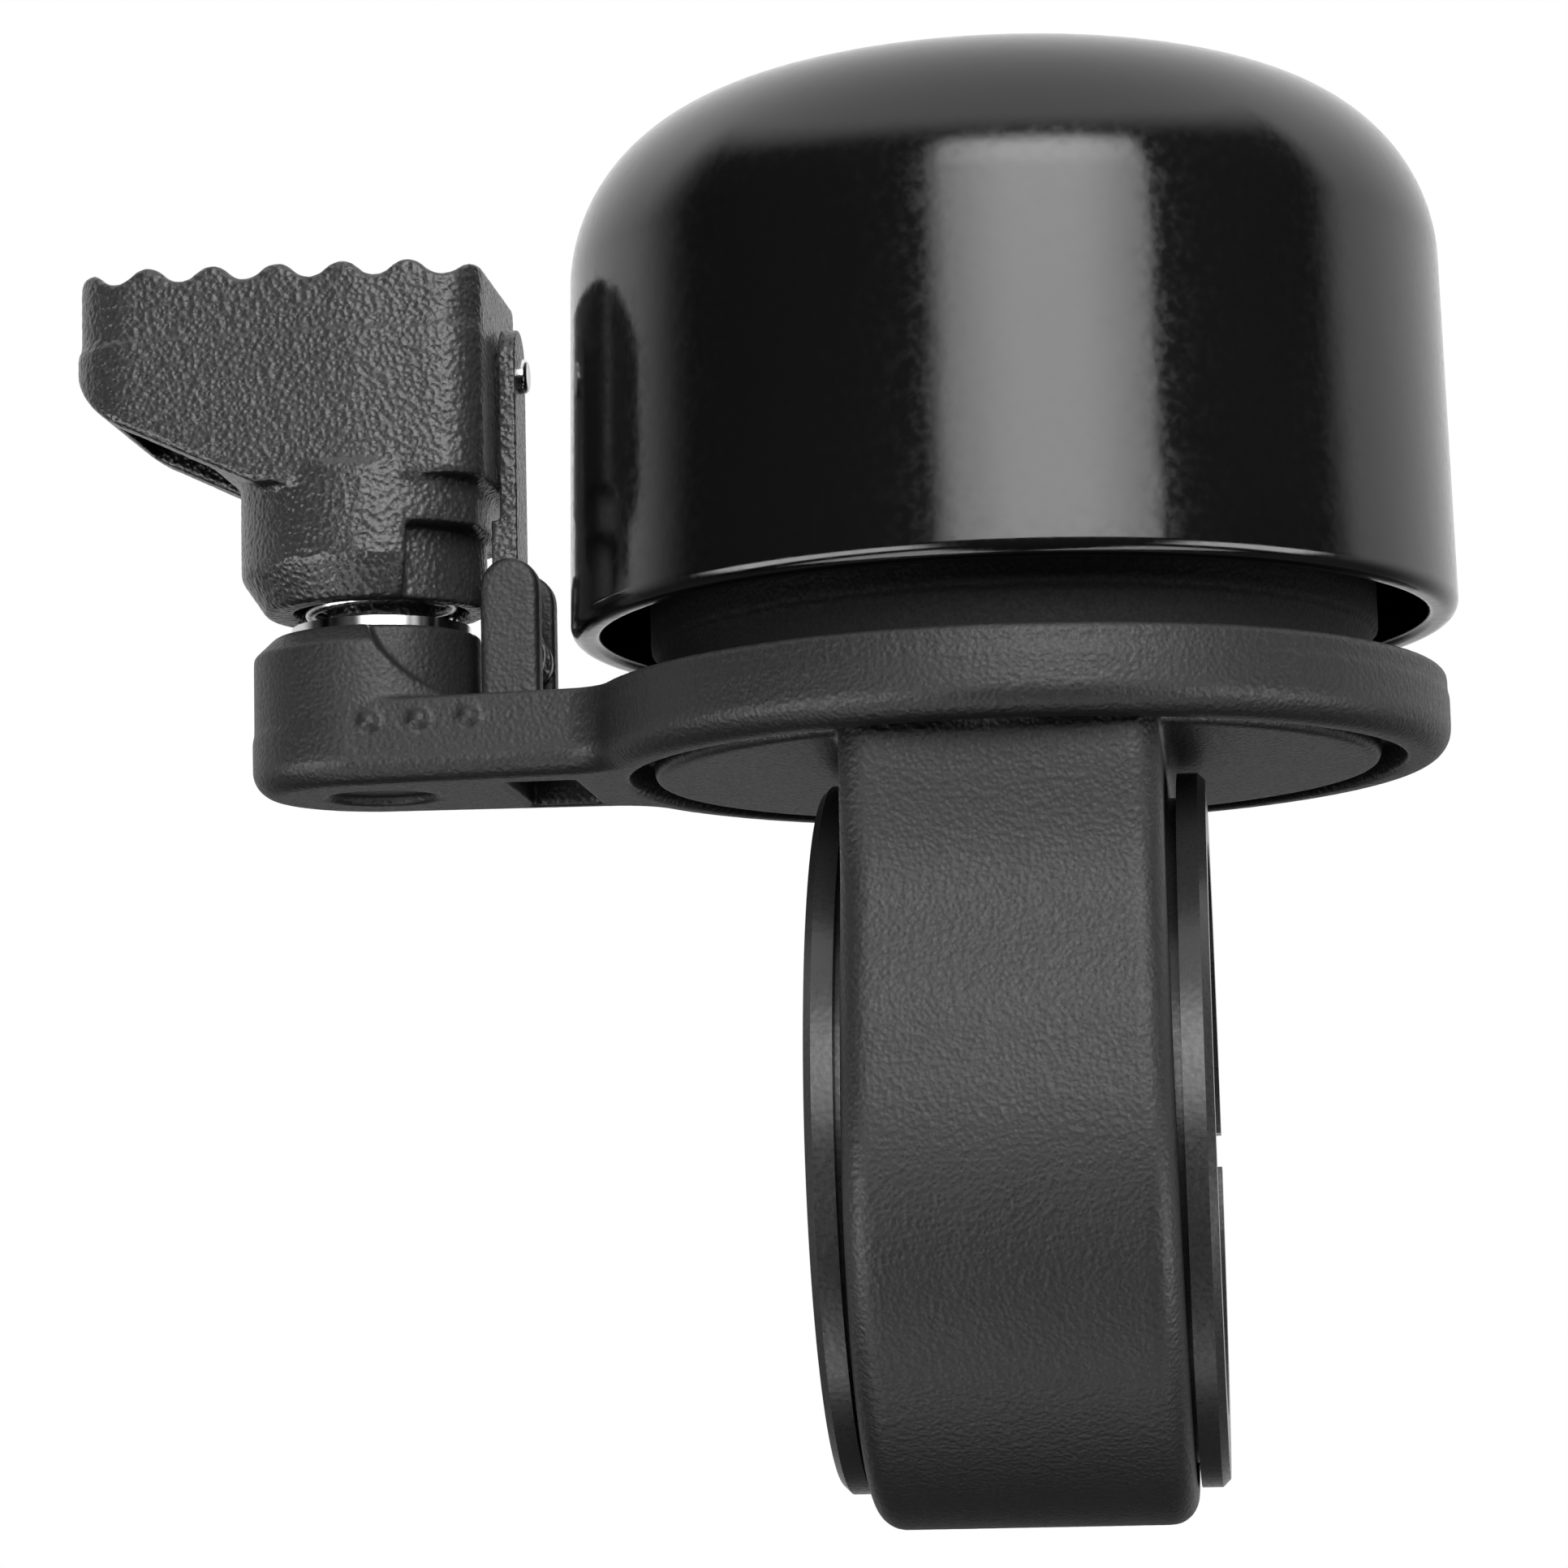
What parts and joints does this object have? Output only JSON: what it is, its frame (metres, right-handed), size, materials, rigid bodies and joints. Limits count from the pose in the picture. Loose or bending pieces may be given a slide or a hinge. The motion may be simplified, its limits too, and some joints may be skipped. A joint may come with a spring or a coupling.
{
  "type": "bicycle bell",
  "caption": "Bicycle bell with a deep black dome, a swivel arm with ribbed thumb lever and hinged hammer, and a split handlebar clamp with shim.",
  "frame": {"origin": "centre of the handlebar bore", "axes": "+X along the handlebar, +Z from the bar up through the dome"},
  "size_m": [0.0548, 0.0406, 0.0576],
  "materials": {
    "dome_paint": "glossy black paint with fine orange peel",
    "body_plastic": "fine spark-eroded texture",
    "lever_plastic": "coarse spark-eroded texture",
    "shim_plastic": "smooth satin",
    "glide_plastic": "smooth acetal",
    "screw_steel": "zinc plated",
    "bright_steel": "bright turned steel",
    "spring_steel": "drawn wire",
    "post_brass": "turned brass",
    "isolator_rubber": "smooth moulded rubber"
  },
  "bodies": {
    "bracket": {"clamp_base": "body_plastic", "bar_shim": "shim_plastic", "clamp_screw": "screw_steel", "clamp_washer": "screw_steel", "clamp_nut": "screw_steel", "glide_washer": "glide_plastic", "ring_retainer": "body_plastic", "dome_screw": "screw_steel", "dome_lock_washer": "screw_steel", "dome_isolator": "isolator_rubber", "dome_post": "post_brass", "dome": "dome_paint"},
    "arm": {"swivel_arm": "body_plastic", "lever_axle": "bright_steel", "thrust_washer": "bright_steel", "lever_spring": "spring_steel", "hammer_pin": "bright_steel", "hammer_spring": "spring_steel"},
    "lever": {"thumb_lever": "lever_plastic", "axle_clip": "bright_steel"},
    "hammer": {"hammer_arm": "lever_plastic", "striker": "bright_steel"}
  },
  "joints": [
    {"name": "arm_swivel", "type": "hinge", "parent": "bracket", "child": "arm", "pos_m": [0, 0, 0.0157], "axis": [0, 0, 1], "continuous": true},
    {"name": "lever_turn", "type": "hinge", "parent": "arm", "child": "lever", "pos_m": [-0.0254, 0, 0.0215], "axis": [0, 0, -1], "range_deg": [0, 25], "stiffness_Nm_per_rad": 0.015, "springref_deg": -17.19, "deforming": ["lever_spring"]},
    {"name": "hammer_swing", "type": "hinge", "parent": "arm", "child": "hammer", "pos_m": [-0.01975, 0, 0.0195], "axis": [0, 1, 0], "range_deg": [0, 9.3], "stiffness_Nm_per_rad": 0.0005, "springref_deg": -5.73, "deforming": ["hammer_spring"]}
  ],
  "couplings": [
    {"joint": "hammer_swing", "follows": "lever_turn", "ratio": 0.372}
  ]
}
